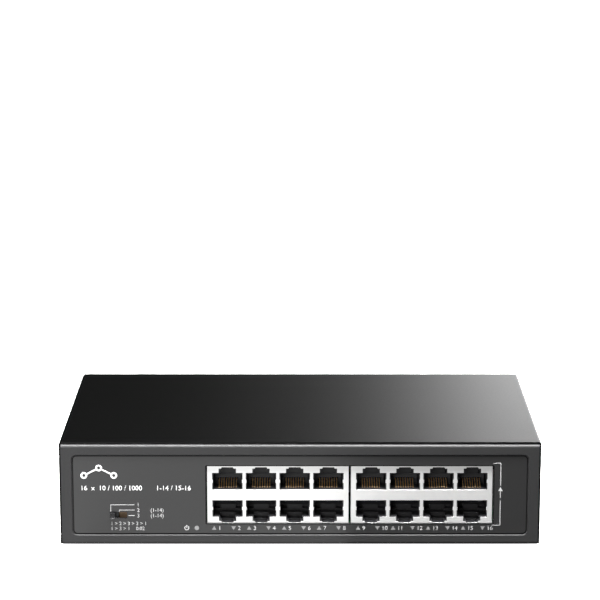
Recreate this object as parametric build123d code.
from build123d import *
import os

# A 16-port desktop network switch in a folded steel case, in millimetres.
# +Z is up, the front panel faces -Y and +X is to the right of someone facing it.
# The origin is on the standing surface, at the middle of the whole switch.

# Whole case
case_width = 200.0
case_height = 44.0
case_depth = 117.0
sheet = 0.8
cover_gap = 0.1
foot_height = 2.0
proud = 0.8  # how far the mode knob and the mains inlet stand out of the case

front_y = -case_depth / 2
rear_y = case_depth / 2
case_z = foot_height
case_top = case_z + case_height
cover_bend = 1.1
base_bend = 1.3
base_half_width = case_width / 2 - sheet - cover_gap
base_top = case_top - sheet - cover_gap
floor_z = case_z + sheet
cover_front = front_y + base_bend  # the cover ends where the front panel bends over
cover_rear = rear_y - base_bend
top_return = 9.0
side_return = 10.0

# Pressed recess of the front panel and the printed film on its floor
recess_width = 189.4
recess_low, recess_high = case_z + 4.2, case_z + 38.6
recess_depth = 0.9
recess_corner = 2.0
recess_rim = 0.4
recess_y = front_y + recess_depth
panel_back = recess_y + sheet
film = 0.2
film_margin = 0.3
cut_margin = 0.1

# Jack blocks: two blocks, each two rows of four ports
port_pitch = 14.0
block_centres = {"left": -9.2, "right": 50.6}
columns = [(i - 1.5) * port_pitch for i in range(4)]
block_width = 58.8
block_depth = 25.4
block_mid_z = case_z + 21.0
block_height = 26.0
block_low = block_mid_z - block_height / 2
block_high = block_mid_z + block_height / 2
block_front = panel_back + 0.05
block_back = block_front + block_depth
window_gap = 0.35
window_x = (
    block_centres["left"] - block_width / 2 - window_gap,
    block_centres["right"] + block_width / 2 + window_gap,
)
window_z = (case_z + 9.0, case_z + 33.7)
shield = 0.25

# One port, measured from the middle of its block: the upper row, mirrored for the lower
mouth_width, mouth_low, mouth_high = 12.65, 2.3, 9.55
step_width, step_high = 7.2, 11.4
notch_width, notch_high = 4.6, 12.0
bay_width, bay_low, bay_high = 11.9, 2.45, 9.35
latch_width, latch_high, latch_depth = 6.4, 11.2, 6.0
latch_nose_width, latch_nose_high, latch_nose_depth = 4.8, 12.1, 3.3
bay_depth, wall_depth = 8.2, 9.2
comb_width, comb_high, comb_depth = 8.6, 5.1, 12.0
beam_high, beam_lean = 6.75, 0.7
shelf_high, shelf_depth = 8.4, 11.0
side_slot, side_slot_depth = 0.5, 11.0
wire_pitch, wire_width, wire_thick = 1.02, 0.45, 0.3
wire_run = [(2.4, 0.0), (3.4, 0.0), (7.4, 2.1), (9.2, 2.1), (11.6, 1.2)]  # depth and height

# Boards
board = 1.6
board_top = block_low
board_low = board_top - board
main_board_x = (-92.0, 92.0)
main_board_y = (front_y + 5.0, 4.5)
supply_board_x = (-38.0, 74.0)
supply_board_y = (9.0, 53.0)
standoff_radius = 2.75
screw_radius = 1.45
board_hole_radius = 1.7

# Indicators below the ports
light_z = case_z + 7.0
bank_starts = (-35.8, 24.2)
pair_pitch = 14.6
pair_gap = 8.1
power_light_x = -43.0
lamp_clearance = 0.1
lamp_bar_y = (panel_back + 1.2, main_board_y[0] - 0.2)

# Mode slide switch with three positions
mode_pitch = 2.4
mode_travel = 2 * mode_pitch
slot_x = (-79.05, -72.05)
slot_z = (case_z + 11.15, case_z + 13.95)
knob_x = (slot_x[0] + 0.1, slot_x[1] - 0.1 - mode_travel)
knob_z = (slot_z[0] + 0.2, slot_z[1] - 0.2)
can_x = (-81.0, -70.1)
can_y = (panel_back + 0.3, panel_back + 4.2)
can_z = (board_top + 0.6, board_top + 8.5)
can_wall = 0.3
wafer_y = (can_y[0] + 2.3, can_y[0] + 3.1)
strip_z = (case_z + 12.4, case_z + 13.2)
pin_top = case_z + 13.0

# Rear and underside
inlet_x = -68.0
inlet_z = case_z + 22.0
inlet_width, inlet_height = 27.0, 19.4
inlet_screw_spacing = 40.0
foot_radius = 5.5
foot_places = [(x, y) for x in (-82.0, 82.0) for y in (-45.0, 45.0)]
keyhole_spacing = 120.0
keyhole_radius = 3.6
keyhole_slot = 1.9
cover_screw_y = (-38.0, 38.0)
cover_screw_z = case_z + 6.5

# Switching chip under its heatsink
chip_x, chip_y = 20.7, -6.6
chip_top = board_top + 1.4
pad_top = chip_top + 0.5

# Leads, their headers and the earth point
lead_radius = 0.85
earth_place = (inlet_x - 12.0, 30.0)
tag_y = rear_y - 29.0
main_header = (84.0, -12.0, 8.0, 6.0)
mains_header = (-33.0, 34.0, 6.0, 9.0)
supply_header = (69.0, 31.0, 6.0, 9.0)
header_high = 6.0
plug_high = 10.0
plug_top = board_top + plug_high

os.makedirs("parts", exist_ok=True)


def block(x, y, z):
    """A box between the low and high value of each axis."""
    size = [high - low for low, high in (x, y, z)]
    middle = [(high + low) / 2 for low, high in (x, y, z)]
    return Pos(*middle) * Box(*size)


def around(x, y, width, depth, z):
    """A box centred on x and y, standing between two heights."""
    return block((x - width / 2, x + width / 2), (y - depth / 2, y + depth / 2), z)


def post(x, y, radius, z):
    """An upright cylinder between two heights."""
    return Pos(x, y, (z[0] + z[1]) / 2) * Cylinder(radius, z[1] - z[0])


def rod_y(x, z, radius, y):
    """A cylinder along Y between two depths."""
    return Pos(x, (y[0] + y[1]) / 2, z) * Rot(90, 0, 0) * Cylinder(radius, y[1] - y[0])


def rod_x(y, z, radius, x):
    """A cylinder along X between two places."""
    return Pos((x[0] + x[1]) / 2, y, z) * Rot(0, 90, 0) * Cylinder(radius, x[1] - x[0])


def from_front(sketch, y):
    """A sketch of X and Z, as seen from the front, made solid between two depths."""
    plane = Plane(origin=(0, y[0], 0), x_dir=(1, 0, 0), z_dir=(0, -1, 0))
    return extrude(plane * sketch, amount=y[1] - y[0], dir=(0, 1, 0))


def from_side(sketch, x):
    """A sketch of Y and Z made solid between two places along X."""
    return extrude(Plane.YZ.offset(x[0]) * sketch, amount=x[1] - x[0], dir=(1, 0, 0))


def plate_xz(x, z, radius, y):
    """A plate that faces the front, with rounded corners."""
    size = (x[1] - x[0], z[1] - z[0])
    outline = Pos((x[0] + x[1]) / 2, (z[0] + z[1]) / 2) * RectangleRounded(*size, radius)
    return from_front(outline, y)


def write(name, *solids):
    """Store one sub-part, as one solid or as a group of separate ones."""
    shape = solids[0] if len(solids) == 1 else Compound(children=list(solids))
    export_step(shape, "parts/" + name + ".step")


def cross_recess(size, deep):
    """A Phillips recess, sunk from z = 0 downwards."""
    return Box(size, size / 4, 2 * deep) + Box(size / 4, size, 2 * deep)


def pan_screw(shank, head_radius=2.75, head_high=1.7):
    """An M3 pan-head screw that points down, its head resting on z = 0."""
    head = Pos(0, 0, head_high / 2) * Cylinder(head_radius, head_high)
    head = fillet(head.edges().group_by(Axis.Z)[-1], 0.6)
    stem = Pos(0, 0, -shank / 2) * Cylinder(screw_radius, shank)
    return head + stem - Pos(0, 0, head_high) * cross_recess(3.0, 0.9)


def lamp_outlines(grow=0.0):
    """The seventeen indicator outlines: a round one, then up and down triangles."""
    shapes = [Pos(power_light_x, light_z) * Circle(0.95 + grow)]
    for start in bank_starts:
        for pair in range(4):
            x = start + pair * pair_pitch
            half, low, high = 0.95 + 1.6 * grow, 0.8 + grow, 0.85 + 1.6 * grow
            up = Polygon((-half, -low), (half, -low), (0, high), align=None)
            shapes.append(Pos(x, light_z) * up)
            down = Polygon((-half, low), (0, -high), (half, low), align=None)
            shapes.append(Pos(x + pair_gap, light_z) * down)
    return shapes


def port_places(side):
    """Middle X and row (+1 upper, -1 lower) of the eight ports in a block."""
    return [(block_centres[side] + dx, row) for dx in columns for row in (1, -1)]


def standoff_places():
    """Screw places of the main board, then of the supply board."""
    main = [(x, y) for x in (-88.0, 88.0) for y in (-36.0, 0.0)]
    main += [(-44.0, -36.0), (-44.0, 0.0)]
    supply = [(x, y) for x in (-34.0, 70.0) for y in (13.0, 49.0)]
    return main, supply


# ---- Case -------------------------------------------------------------------


def base_tray():
    """Floor, front and rear panel bent from one sheet, with side flanges."""
    outer = block((-base_half_width, base_half_width), (front_y, rear_y), (case_z, base_top))
    outer = fillet(outer.edges().filter_by(Axis.X), base_bend)
    inner = block(
        (-case_width, case_width),
        (front_y + sheet, rear_y - sheet),
        (floor_z, base_top - sheet),
    )
    inner = fillet(inner.edges().filter_by(Axis.X), base_bend - sheet)
    opening = block(
        (-case_width, case_width),
        (front_y + top_return, rear_y - top_return),
        (base_top - 2 * sheet, case_top),
    )
    tray = outer - inner - opening
    for side in (-1, 1):
        wall = sorted((side * base_half_width, side * (base_half_width - sheet)))
        tray += block(wall, (front_y + 6.0, rear_y - 6.0), (case_z + 0.1, case_z + side_return))

    # The front panel is pressed back over the recess, and keeps its thickness.
    half = recess_width / 2
    pressed = plate_xz(
        (-half - sheet, half + sheet),
        (recess_low - sheet, recess_high + sheet),
        recess_corner + sheet,
        (front_y + sheet / 2, panel_back),
    )
    pocket = plate_xz(
        (-half, half), (recess_low, recess_high), recess_corner, (front_y - 1, recess_y)
    )
    tray = tray + pressed - pocket
    rim = tray.edges().filter_by_position(Axis.Y, front_y - 0.01, front_y + 0.01)
    rim = [e for e in rim if abs(e.center().X) < half + 0.1 and e.center().Z < recess_high + 0.1]
    rim = [e for e in rim if e.center().Z > recess_low - 0.1]
    tray = fillet(rim, recess_rim)

    # Openings of the front panel
    through = (front_y - 1, panel_back + 1)
    tray -= plate_xz(window_x, window_z, 0.3, through)
    tray -= plate_xz(slot_x, slot_z, 0.5, through)
    for outline in lamp_outlines(lamp_clearance):
        tray -= from_front(outline, through)

    # Openings of the rear panel and the floor
    through = (rear_y - 3, rear_y + 1)
    half_inlet = inlet_width / 2 + 0.15
    low, high = inlet_z - inlet_height / 2 - 0.15, inlet_z + inlet_height / 2 + 0.15
    tray -= plate_xz((inlet_x - half_inlet, inlet_x + half_inlet), (low, high), 2.0, through)
    for side in (-1, 1):
        x = inlet_x + side * inlet_screw_spacing / 2
        tray -= rod_y(x, inlet_z, screw_radius + 0.2, through)
    main, supply = standoff_places()
    for x, y in main + supply:
        tray -= post(x, y, 2.0, (case_z - 1, floor_z + 1))
    tray -= post(*earth_place, screw_radius, (case_z - 1, floor_z + 1))
    for side in (-1, 1):
        x = side * keyhole_spacing / 2
        tray -= post(x, 0, keyhole_radius, (case_z - 1, floor_z + 1))
        slot = (x - keyhole_slot, x + keyhole_slot)
        tray -= block(slot, (0, 8.0), (case_z - 1, floor_z + 1))
        tray -= post(x, 8.0, keyhole_slot, (case_z - 1, floor_z + 1))

    # Extruded and tapped collars in the side flanges take the cover screws.
    for side in (-1, 1):
        face, back = side * base_half_width, side * (base_half_width - sheet - 1.4)
        span = sorted((face, back))
        for y in cover_screw_y:
            tray += rod_x(y, cover_screw_z, 2.4, span)
            tray -= rod_x(y, cover_screw_z, screw_radius, (span[0] - 1, span[1] + 1))
    return tray


def vent_places():
    """Middles of the ventilation slots in a side of the cover."""
    rows = (case_z + 18.0, case_z + 30.0)
    return [(-36.0 + 4.8 * i, z) for i in range(16) for z in rows]


def top_cover():
    """Top and both sides bent from one sheet, open at the front, rear and below."""
    half = case_width / 2
    outer = block((-half, half), (cover_front, cover_rear), (case_z, case_top))
    outer = fillet(outer.edges().filter_by(Axis.Y).group_by(Axis.Z)[-1], cover_bend)
    inner = block(
        (-half + sheet, half - sheet),
        (front_y - 1, rear_y + 1),
        (case_z - 1, case_top - sheet),
    )
    inner = fillet(inner.edges().filter_by(Axis.Y).group_by(Axis.Z)[-1], cover_bend - sheet)
    cover = outer - inner
    slots = []
    for y, z in vent_places():
        slots.append(Pos(y, z) * SlotOverall(9.0, 2.2, rotation=90))
    cover -= from_side(Sketch() + slots, (-half - 1, half + 1))
    for side in (-1, 1):
        for y in cover_screw_y:
            sink = Cone(1.6, 2.8, sheet)
            seat = Pos(side * (half - sheet / 2), y, cover_screw_z) * Rot(0, side * 90, 0)
            cover -= seat * sink
    return cover


def cover_screws():
    """Countersunk screws that hold the cover to the side flanges."""
    screws = []
    length = 6.0
    head = Pos(0, 0, -sheet / 2) * Cone(1.55, 2.75, sheet)
    stem = Pos(0, 0, -sheet - length / 2) * Cylinder(screw_radius, length)
    screw = head + stem - cross_recess(2.6, 0.6)
    for side in (-1, 1):
        for y in cover_screw_y:
            place = Pos(side * (case_width / 2 - 0.03), y, cover_screw_z)
            screws.append(place * Rot(0, side * 90, 0) * screw)
    return screws


def front_film():
    """Printed film on the floor of the recess, cut out for ports and mode knob."""
    half = recess_width / 2 - film_margin
    span = (recess_low + film_margin, recess_high - film_margin)
    y = (recess_y - film, recess_y)
    label = plate_xz((-half, half), span, recess_corner - film_margin, y)
    through = (recess_y - 1, recess_y + 1)
    for x, z, corner in ((window_x, window_z, 0.3), (slot_x, slot_z, 0.5)):
        x = (x[0] - cut_margin, x[1] + cut_margin)
        z = (z[0] - cut_margin, z[1] + cut_margin)
        label -= plate_xz(x, z, corner, through)
    return label


def rubber_feet():
    """Self-adhesive feet under the floor."""
    feet = []
    for x, y in foot_places:
        foot = post(x, y, foot_radius, (0, foot_height))
        feet.append(chamfer(foot.edges().group_by(Axis.Z)[0], 0.5))
    return feet


# ---- Jack blocks ------------------------------------------------------------


def mouth_outline(x, row):
    """Stepped opening of one port in the metal shield."""
    half, step, notch = mouth_width / 2, step_width / 2, notch_width / 2
    points = [
        (-half, mouth_low),
        (half, mouth_low),
        (half, mouth_high),
        (step, mouth_high),
        (step, step_high),
        (notch + 0.4, step_high),
        (notch, notch_high),
        (-notch, notch_high),
        (-notch - 0.4, step_high),
        (-step, step_high),
        (-step, mouth_high),
        (-half, mouth_high),
    ]
    points = [(x + px, block_mid_z + row * pz) for px, pz in points]
    return Polygon(*points, align=None)


def port_shield(side):
    """Tinned steel shell round a jack block, open at the bottom and the back."""
    x = block_centres[side]
    half = block_width / 2
    shell = block((x - half, x + half), (block_front, block_back), (block_low, block_high))
    shell = fillet(shell.edges().filter_by(Axis.Z).group_by(Axis.Y)[0], 0.35)
    shell -= block(
        (x - half + shield, x + half - shield),
        (block_front + shield, block_back + 1),
        (block_low - 1, block_high - shield),
    )
    for px, row in port_places(side):
        shell -= from_front(mouth_outline(px, row), (block_front - 1, block_front + shield + 0.01))
    return shell


def port_bay(x, row):
    """Space inside one port: plug bay, latch channel, shelves and the comb behind the wires."""
    front = block_front + shield

    def space(width, depth, z):
        height = sorted(block_mid_z + row * value for value in z)
        return block((x - width / 2, x + width / 2), (front + depth[0], front + depth[1]), height)

    bay = space(bay_width, (-1, bay_depth), (bay_low, bay_high))
    bay += space(latch_width, (-1, latch_depth), (bay_high - 0.1, latch_high))
    bay += space(latch_nose_width, (-1, latch_nose_depth), (latch_high - 0.1, latch_nose_high))
    bay += space(comb_width, (bay_depth - 0.1, comb_depth), (bay_low, comb_high))
    bay += space(latch_width, (bay_depth - 0.1, wall_depth), (beam_high, bay_high))

    # The beam over the wires leans back, and beside the wall are deep slots and shelves.
    lean = [(bay_depth - 0.1, comb_high), (bay_depth, comb_high), (bay_depth + beam_lean, beam_high)]
    lean.append((bay_depth - 0.1, beam_high))
    lean = [(front + depth, block_mid_z + row * z) for depth, z in lean]
    half = bay_width / 2
    bay += from_side(Polygon(*lean, align=None), (x - half, x + half))
    for side in (-1, 1):
        inner, outer = side * latch_width / 2, side * half
        span = sorted((x + inner, x + outer))
        height = sorted(block_mid_z + row * z for z in (beam_high, shelf_high))
        bay += block(span, (front + bay_depth - 0.1, front + shelf_depth), height)
        span = sorted((x + outer, x + outer - side * side_slot))
        height = sorted(block_mid_z + row * z for z in (bay_low, shelf_high))
        bay += block(span, (front + bay_depth - 0.1, front + side_slot_depth), height)
    return bay


def port_housing(side):
    """Black moulded block with the eight port bays."""
    x = block_centres[side]
    half = block_width / 2 - shield
    front = block_front + shield
    body = block((x - half, x + half), (front, block_back - 0.3), (block_low, block_high - shield))
    for px, row in port_places(side):
        body -= port_bay(px, row)
    return body


def contact_wire(x, row):
    """One sprung contact wire, from the front of the bay floor up into the comb."""
    front = block_front + shield
    low = [(front + d, block_mid_z + row * (bay_low + h)) for d, h in wire_run]
    high = [(front + d, block_mid_z + row * (bay_low + h + wire_thick)) for d, h in wire_run]
    outline = Polygon(*low, *reversed(high), align=None)
    return from_side(outline, (x - wire_width / 2, x + wire_width / 2))


def port_contacts(side):
    """Eight contact wires for each of the eight ports of a block."""
    wires = []
    for px, row in port_places(side):
        for i in range(8):
            wires.append(contact_wire(px + (i - 3.5) * wire_pitch, row))
    return wires


# ---- Indicators and mode switch ---------------------------------------------


def light_pipe_bar():
    """Clear moulding that carries the light of each LED to the front film."""
    ends = (power_light_x - 1.6, bank_starts[1] + 3 * pair_pitch + pair_gap + 1.6)
    bar = block(ends, lamp_bar_y, (light_z - 1.7, light_z + 0.85))
    for outline in lamp_outlines():
        bar += from_front(outline, (recess_y + 0.05, lamp_bar_y[0] + 0.1))
    for x in (-39.4, 20.2, 57.5):
        bar += around(x, main_board_y[0] + 1.0, 2.0, 3.0, (light_z - 1.7, board_low))
    return bar


def lamp_chips():
    """Side-lit LED chips under the front edge of the main board."""
    chips = []
    y = (main_board_y[0] + 0.1, main_board_y[0] + 1.3)
    for outline in lamp_outlines():
        x = outline.center().X
        chips.append(block((x - 0.8, x + 0.8), y, (board_low - 0.7, board_low)))
    return chips




def mode_switch_can():
    """Folded steel can of the mode switch, open at the back, on two legs."""
    can = block(can_x, can_y, can_z)
    can -= block(
        (can_x[0] + can_wall, can_x[1] - can_wall),
        (can_y[0] + can_wall, can_y[1] + 1),
        (can_z[0] + can_wall, can_z[1] - can_wall),
    )
    window = (slot_x[0] - 0.25, slot_x[1] + 0.25)
    can -= block(window, (can_y[0] - 1, can_y[0] + 1), (slot_z[0] - 0.15, slot_z[1] + 0.15))
    below = (can_x[0] + can_wall, can_x[1] - can_wall)
    can -= block(below, (wafer_y[1] - 0.1, can_y[1] + 1), (board_top, slot_z[0]))
    for x in ((can_x[0], below[0]), (below[1], can_x[1])):
        can += block(x, (can_y[1] - 0.8, can_y[1]), (board_top, can_z[0] + 0.1))
    return can


def mode_switch_wafer():
    """Brown laminate wafer that closes the can and carries the terminals."""
    x = (can_x[0] + can_wall + 0.05, can_x[1] - can_wall - 0.05)
    z = (can_z[0] + can_wall, can_z[1] - can_wall)
    return block(x, wafer_y, z) + block(x, (wafer_y[0] - 0.7, wafer_y[0] + 0.1), strip_z)


def mode_switch_terminals():
    """Four pins from the back of the wafer down to the board."""
    pins = []
    for i in range(4):
        x = (can_x[0] + can_x[1]) / 2 + (i - 1.5) * mode_pitch
        y = (wafer_y[1], wafer_y[1] + 0.5)
        pins.append(block((x - 0.25, x + 0.25), y, (board_top, pin_top)))
    return pins


def mode_knob():
    """Sliding knob of the mode switch with its carriage inside the can."""
    y = (front_y - proud, can_y[0] + 0.9)
    stem = block(knob_x, y, knob_z)
    stem = chamfer(stem.edges().group_by(Axis.Y)[0], 0.25)
    carriage = block(
        (knob_x[0] - 1.4, knob_x[1] + 1.4),
        (can_y[0] + can_wall + 0.1, can_y[0] + 1.2),
        (slot_z[0] - 0.6, slot_z[1] + 0.6),
    )
    return stem + carriage


def mode_contact():
    """Bronze bridge behind the carriage that joins the terminals in pairs."""
    x = (knob_x[0] - 1.2, knob_x[1] + 1.2)
    y = (can_y[0] + 1.2, can_y[0] + 1.35)
    leaf = block(x, y, (slot_z[0] - 0.5, slot_z[1] + 0.5))
    for z in ((slot_z[0] - 0.4, slot_z[0] + 0.5), (slot_z[1] - 0.3, slot_z[1] + 0.4)):
        leaf += block((x[0] + 1.2, x[1] - 1.2), (y[1] - 0.05, wafer_y[0] - 0.1), z)
    return leaf


# ---- Main board -------------------------------------------------------------


def circuit_board(x, y, screws):
    """A bare board with its screw holes."""
    plate = block(x, y, (board_low, board_top))
    plate = fillet(plate.edges().filter_by(Axis.Z), 1.5)
    for hole_x, hole_y in screws:
        plate -= post(hole_x, hole_y, board_hole_radius, (board_low - 1, board_top + 1))
    return plate


def standoffs(places):
    """Pressed-in pillars between the floor and a board."""
    pillars = []
    for x, y in places:
        pillar = post(x, y, standoff_radius, (floor_z, board_low))
        pillar += post(x, y, 2.0, (case_z + 0.1, floor_z + 0.5))
        pillars.append(pillar - post(x, y, screw_radius, (floor_z + 0.4, board_low + 1)))
    return pillars


def board_screws(places):
    """Pan-head screws that hold a board on its pillars."""
    return [Pos(x, y, board_top) * pan_screw(5.5) for x, y in places]


def lan_transformers():
    """Isolating transformer modules, one behind each pair of ports."""
    modules = []
    for centre in block_centres.values():
        for dx in columns:
            y = block_back + 7.6
            modules.append(around(centre + dx, y, 12.6, 11.6, (board_top, board_top + 5.8)))
    return [chamfer(m.edges().group_by(Axis.Z)[-1], 0.5) for m in modules]


def switch_chip():
    """The switching chip under the heatsink."""
    body = around(chip_x, chip_y, 19.0, 19.0, (board_top + 0.1, chip_top))
    return body + around(chip_x, chip_y, 16.0, 16.0, (board_top, board_top + 0.2))


def chip_heatsink():
    """Extruded aluminium heatsink with straight fins."""
    fin_count, fin, wide, deep = 9, 1.0, 34.0, 20.0
    sink = around(chip_x, chip_y, wide, deep, (pad_top, pad_top + 2.0))
    for i in range(fin_count):
        x = chip_x + (i - (fin_count - 1) / 2) * (wide - fin) / (fin_count - 1)
        sink += around(x, chip_y, fin, deep, (pad_top + 1.0, pad_top + 13.0))
    return sink


def gull_chip(x, y, width, depth, pins):
    """A small chip with legs along both of its long sides."""
    z = (board_top + 0.15, board_top + 1.6)
    body = chamfer(around(x, y, width, depth, z).edges().group_by(Axis.Z)[-1], 0.25)
    pitch = 1.27
    for i in range(pins):
        leg_x = x + (i - (pins - 1) / 2) * pitch
        body += around(leg_x, y, 0.45, depth + 2.0, (board_top, board_top + 0.5))
    return body


def clock_crystal():
    """Metal-cased crystal beside the switching chip."""
    return fillet(around(-6.0, -8.0, 4.6, 11.0, (board_top, board_top + 3.5)).edges(), 0.8)


def buck_inductors():
    """Square power inductors of the two board regulators."""
    coils = [around(x, -9.0, 8.0, 8.0, (board_top, board_top + 4.2)) for x in (52.0, 64.0)]
    return [fillet(coil.edges().filter_by(Axis.Z), 1.2) for coil in coils]


def can_capacitor(x, y, radius, high):
    """An electrolytic capacitor that stands on a board."""
    can = post(x, y, radius, (board_top, board_top + high))
    can = fillet(can.edges().group_by(Axis.Z)[-1], 0.5)
    groove = post(x, y, radius + 1, (board_top + 1.4, board_top + 2.0))
    return can - (groove - post(x, y, radius - 0.35, (board_top, board_top + 3)))


def board_capacitors():
    """Capacitors of the main board's regulators."""
    return [can_capacitor(x, y, 3.15, 7.7) for x, y in ((-28.0, -6.0), (-36.0, -6.0), (44.0, -6.0))]


# ---- Power supply -----------------------------------------------------------


def output_capacitors():
    """Capacitors behind the transformer."""
    return [can_capacitor(x, y, 4.0, 16.0) for x, y in ((48.0, 20.0), (58.0, 20.0), (48.0, 32.0))]


def mains_inlet():
    """Three-pin mains inlet: a hollow body through the rear panel and a flange inside."""
    inside = rear_y - sheet
    half = inlet_width / 2
    z = (inlet_z - inlet_height / 2, inlet_z + inlet_height / 2)
    body = plate_xz((inlet_x - half, inlet_x + half), z, 1.9, (rear_y - 22.0, rear_y + proud))
    flange = plate_xz((inlet_x - 24.5, inlet_x + 24.5), z, 3.0, (inside - 2.6, inside))
    body += flange
    corner = 3.6
    shape = [
        (-half + 1.5, -inlet_height / 2 + 2.0),
        (half - 1.5, -inlet_height / 2 + 2.0),
        (half - 1.5, inlet_height / 2 - 2.0 - corner),
        (half - 1.5 - corner, inlet_height / 2 - 2.0),
        (-half + 1.5 + corner, inlet_height / 2 - 2.0),
        (-half + 1.5, inlet_height / 2 - 2.0 - corner),
    ]
    points = [(inlet_x + x, inlet_z + z) for x, z in shape]
    body -= from_front(Polygon(*points, align=None), (rear_y - 17.0, rear_y + proud + 1))
    for x, z in inlet_pin_places():
        body -= around(x, rear_y - 20.0, 2.0, 8.0, (z - 2.0, z + 2.0))
    for side in (-1, 1):
        x = inlet_x + side * inlet_screw_spacing / 2
        body -= rod_y(x, inlet_z, screw_radius, (inside - 4, inside + 1))
    return body


def inlet_pin_places():
    """Neutral, earth and line blades of the inlet."""
    return [(inlet_x - 7.0, inlet_z - 2.0), (inlet_x, inlet_z + 2.0), (inlet_x + 7.0, inlet_z - 2.0)]


def inlet_pins():
    """Blades of the inlet, with solder tags at the back."""
    pins = []
    for x, z in inlet_pin_places():
        pins.append(around(x, rear_y - 16.5, 2.0, 25.0, (z - 2.0, z + 2.0)))
    return pins


def inlet_screws():
    """Flat-headed screws that hold the inlet's flange to the rear panel."""
    screws = []
    head = Pos(0, 0, 0.35) * Cylinder(2.8, 0.7)
    shank = Pos(0, 0, -2.0) * Cylinder(screw_radius, 4.0)
    screw = head + shank - Pos(0, 0, 0.7) * cross_recess(3.0, 0.4)
    for side in (-1, 1):
        x = inlet_x + side * inlet_screw_spacing / 2
        screws.append(Pos(x, rear_y, inlet_z) * Rot(-90, 0, 0) * screw)
    return screws


def supply_insulator():
    """Plastic sheet between the supply board and the floor, pierced for the pillars."""
    x = (supply_board_x[0] - 3, supply_board_x[1] + 3)
    sheet_body = block(x, (supply_board_y[0] - 1, supply_board_y[1] + 1), (floor_z, floor_z + 0.3))
    for px, py in standoff_places()[1]:
        sheet_body -= post(px, py, standoff_radius + 0.3, (floor_z - 1, floor_z + 1))
    return sheet_body


def supply_transformer():
    """Ferrite transformer: winding between two core halves."""
    x, y = 27.0, 30.0
    foot = around(x, y, 24.0, 20.0, (board_top, board_top + 3.0))
    core = around(x, y, 26.0, 12.0, (board_top + 2.0, board_top + 24.0))
    winding = around(x, y, 18.0, 21.0, (board_top + 5.0, board_top + 21.0))
    return fillet(winding.edges().filter_by(Axis.X), 2.5) + core + foot


def mains_choke():
    """Common-mode choke in its frame."""
    x, y = -21.8, 22.8
    frame = around(x, y, 16.0, 14.0, (board_top, board_top + 3.0))
    ring = Pos(x, y, board_top + 10.4) * Rot(90, 0, 0) * Torus(5.2, 2.7)
    return frame + ring


def supply_fuse():
    """Cartridge fuse lying along the board's front edge."""
    body = rod_x(12.6, board_top + 3.2, 2.5, (-24.0, -4.0))
    for x in ((-22.5, -20.5), (-7.5, -5.5)):
        body += block(x, (11.1, 14.1), (board_top, board_top + 3.2))
    return body


def supply_heatsink():
    """Aluminium plate with a folded foot, behind the power transistor."""
    plate = block((-6.0, 24.0), (45.5, 47.5), (board_top, board_top + 24.0))
    return plate + block((-6.0, 24.0), (45.5, 51.0), (board_top + 22.0, board_top + 24.0))


def power_transistor():
    """Power transistor clamped on the heatsink plate."""
    body = block((2.0, 12.0), (41.0, 45.5), (board_top + 4.0, board_top + 14.0))
    for i in range(3):
        body += around(4.5 + 2.5 * i, 43.0, 0.8, 0.6, (board_top, board_top + 5.0))
    return body


def header(place, high=header_high):
    """A wire-to-board header that stands on a board."""
    return around(*place, (board_top, board_top + high))


def plug(place):
    """The plug on a header."""
    return header(place, plug_high) - header(place)


def lead(points, bend=3.0):
    """A wire along straight runs joined by tangent arcs."""
    path = FilletPolyline(*points, radius=bend)
    start = Plane(origin=path @ 0, z_dir=path % 0)
    return sweep(start * Circle(lead_radius), path=path)


def mains_leads():
    """Line and neutral leads from the inlet's tags to the supply board."""
    plug_x, plug_y = mains_header[:2]
    neutral, _, line = inlet_pin_places()
    leads = []
    for (x, z), offset, run_y in ((neutral, -1.9, 17.0), (line, 1.9, 21.0)):
        points = [
            (x, tag_y, z),
            (x, run_y, z),
            (plug_x - 8.0, run_y, z + 8.0),
            (plug_x + offset, plug_y, plug_top + 8.0),
            (plug_x + offset, plug_y, plug_top),
        ]
        leads.append(lead(points))
    return leads


def earth_lead():
    """Earth lead from the inlet's middle tag to the ring on the floor."""
    x, z = inlet_pin_places()[1]
    ring_z = floor_z + 0.9
    screw_x, screw_y = earth_place
    points = [
        (x, tag_y, z),
        (x, 10.0, z),
        (x - 8.0, 9.0, ring_z + 9.0),
        (screw_x, 14.0, ring_z),
        (screw_x, 22.5, ring_z),
    ]
    wire = lead(points, 2.6)
    eye = post(screw_x, screw_y, 3.6, (floor_z, floor_z + 0.8))
    barrel = block((screw_x - 1.6, screw_x + 1.6), (20.0, 26.0), (floor_z, floor_z + 2.2))
    tongue = block((screw_x - 1.6, screw_x + 1.6), (25.0, 28.0), (floor_z, floor_z + 0.8))
    return wire + eye + barrel + tongue - post(screw_x, screw_y, 1.7, (floor_z - 1, floor_z + 2))


def earth_screw():
    """Screw that clamps the earth ring to the floor."""
    return Pos(*earth_place, floor_z + 0.8) * pan_screw(0.8 + sheet)


def supply_leads():
    """Supply leads from the supply board to the main board."""
    leads = []
    for offset in (-1.9, 1.9):
        start_x, start_y = supply_header[:2]
        end_x, end_y = main_header[:2]
        top = plug_top + 7.0
        points = [
            (start_x, start_y + offset, plug_top),
            (start_x, start_y + offset, top),
            (end_x + offset, start_y + offset - 16.0, top + 3.0),
            (end_x + offset, end_y, top),
            (end_x + offset, end_y, plug_top),
        ]
        leads.append(lead(points))
    return leads


# ---- Every sub-part, one file each ------------------------------------------

write("base_tray", base_tray())
write("top_cover", top_cover())
write("cover_screws", *cover_screws())
write("front_film", front_film())
write("rubber_feet", *rubber_feet())

for block_side in block_centres:
    write("port_shield_" + block_side, port_shield(block_side))
    write("port_housing_" + block_side, port_housing(block_side))
    write("port_contacts_" + block_side, *port_contacts(block_side))

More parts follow.
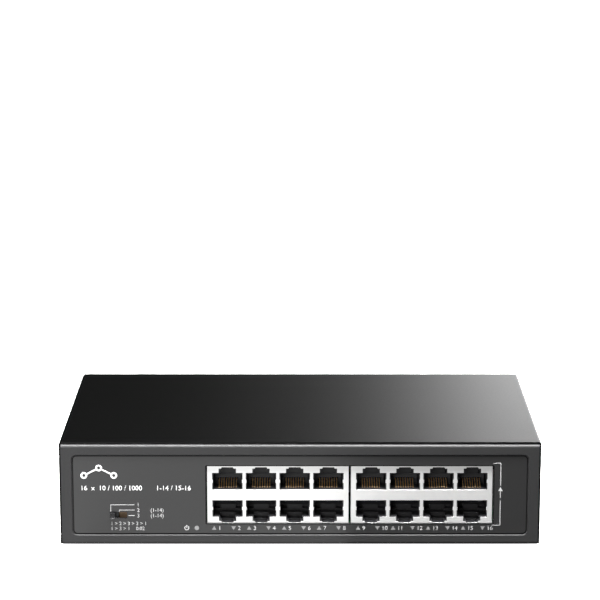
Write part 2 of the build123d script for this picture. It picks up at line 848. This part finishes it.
write("light_pipe_bar", light_pipe_bar())
write("lamp_chips", *lamp_chips())
write("mode_switch_can", mode_switch_can())
write("mode_switch_wafer", mode_switch_wafer())
write("mode_switch_terminals", *mode_switch_terminals())
write("mode_knob", mode_knob())
write("mode_contact", mode_contact())

main_screws, supply_screws = standoff_places()
write("main_board", circuit_board(main_board_x, main_board_y, main_screws))
write("main_board_pillars", *standoffs(main_screws))
write("main_board_screws", *board_screws(main_screws))
write("lan_transformers", *lan_transformers())
write("switch_chip", switch_chip())
write("thermal_pad", around(chip_x, chip_y, 18.0, 18.0, (chip_top, pad_top)))
write("chip_heatsink", chip_heatsink())
write("flash_memory", gull_chip(-16.0, -8.0, 5.2, 4.0, 4))
write("regulator_chips", gull_chip(74.0, -9.0, 5.0, 4.0, 4), gull_chip(38.0, 0.5, 5.0, 3.0, 4))
write("clock_crystal", clock_crystal())
write("buck_inductors", *buck_inductors())
write("board_capacitors", *board_capacitors())
write("main_board_header", header(main_header))
write("main_board_plug", plug(main_header))

write("supply_board", circuit_board(supply_board_x, supply_board_y, supply_screws))
write("supply_board_pillars", *standoffs(supply_screws))
write("supply_board_screws", *board_screws(supply_screws))
write("supply_insulator", supply_insulator())
write("supply_transformer", supply_transformer())
write("mains_choke", mains_choke())
write("mains_filter_capacitor", around(-22.0, 42.0, 15.0, 7.0, (board_top, board_top + 13.0)))
write("supply_fuse", supply_fuse())
write("bridge_rectifier", around(-3.0, 38.0, 15.0, 4.0, (board_top, board_top + 11.0)))
write("bulk_capacitor", can_capacitor(0.0, 24.0, 8.0, 26.0))
write("supply_heatsink", supply_heatsink())
write("power_transistor", power_transistor())
write("output_capacitors", *output_capacitors())
write("supply_headers", header(mains_header), header(supply_header))
write("supply_plugs", plug(mains_header), plug(supply_header))
write("mains_inlet", mains_inlet())
write("inlet_pins", *inlet_pins())
write("inlet_screws", *inlet_screws())
write("mains_leads", *mains_leads())
write("earth_lead", earth_lead())
write("earth_screw", earth_screw())
write("supply_leads", *supply_leads())
